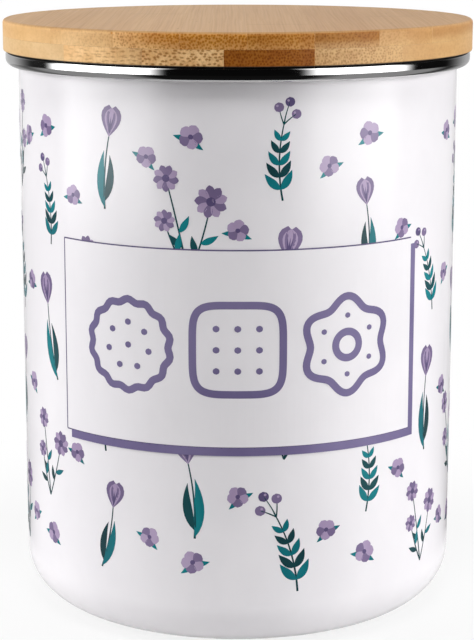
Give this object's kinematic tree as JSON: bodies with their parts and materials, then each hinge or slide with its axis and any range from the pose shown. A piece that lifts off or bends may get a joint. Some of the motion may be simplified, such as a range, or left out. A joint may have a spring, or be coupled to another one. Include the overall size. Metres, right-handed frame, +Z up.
{
  "type": "biscuit tin",
  "caption": "Tall round enamelled storage tin with a rounded base corner, a polished steel rim band and a lift-off bamboo lid that plugs into the mouth on a silicone seal.",
  "frame": {"origin": "middle of the base, on the surface that the tin stands on", "axes": "+Z up along the axis of the pot; -Y is the front, where the printed label panel is; the strips of the lid board run along Y"},
  "size_m": [0.1494, 0.1494, 0.1884],
  "materials": {
    "white_enamel": "gloss",
    "polished_steel": "polished",
    "bamboo_top": "satin",
    "bamboo_under": "satin",
    "bamboo_plug": "satin",
    "clear_silicone": "satin",
    "fired_print": "gloss"
  },
  "bodies": {
    "pot": {"enamel_pot": "white_enamel", "rim_band": "polished_steel"},
    "lid": {"top_strip_1": "bamboo_top", "top_strip_2": "bamboo_top", "top_strip_3": "bamboo_top", "top_strip_4": "bamboo_top", "top_strip_5": "bamboo_top", "top_strip_6": "bamboo_top", "top_strip_7": "bamboo_top", "top_strip_8": "bamboo_top", "under_strip_1": "bamboo_under", "under_strip_2": "bamboo_under", "under_strip_3": "bamboo_under", "under_strip_4": "bamboo_under", "under_strip_5": "bamboo_under", "under_strip_6": "bamboo_under", "plug_strip_1": "bamboo_plug", "plug_strip_2": "bamboo_plug", "plug_strip_3": "bamboo_plug", "plug_strip_4": "bamboo_plug", "plug_strip_5": "bamboo_plug", "seal_ring": "clear_silicone"}
  },
  "joints": [
    {"name": "lid_lift", "type": "slide", "parent": "pot", "child": "lid", "axis": [0, 0, 1], "range_m": [0, 0.16]}
  ]
}
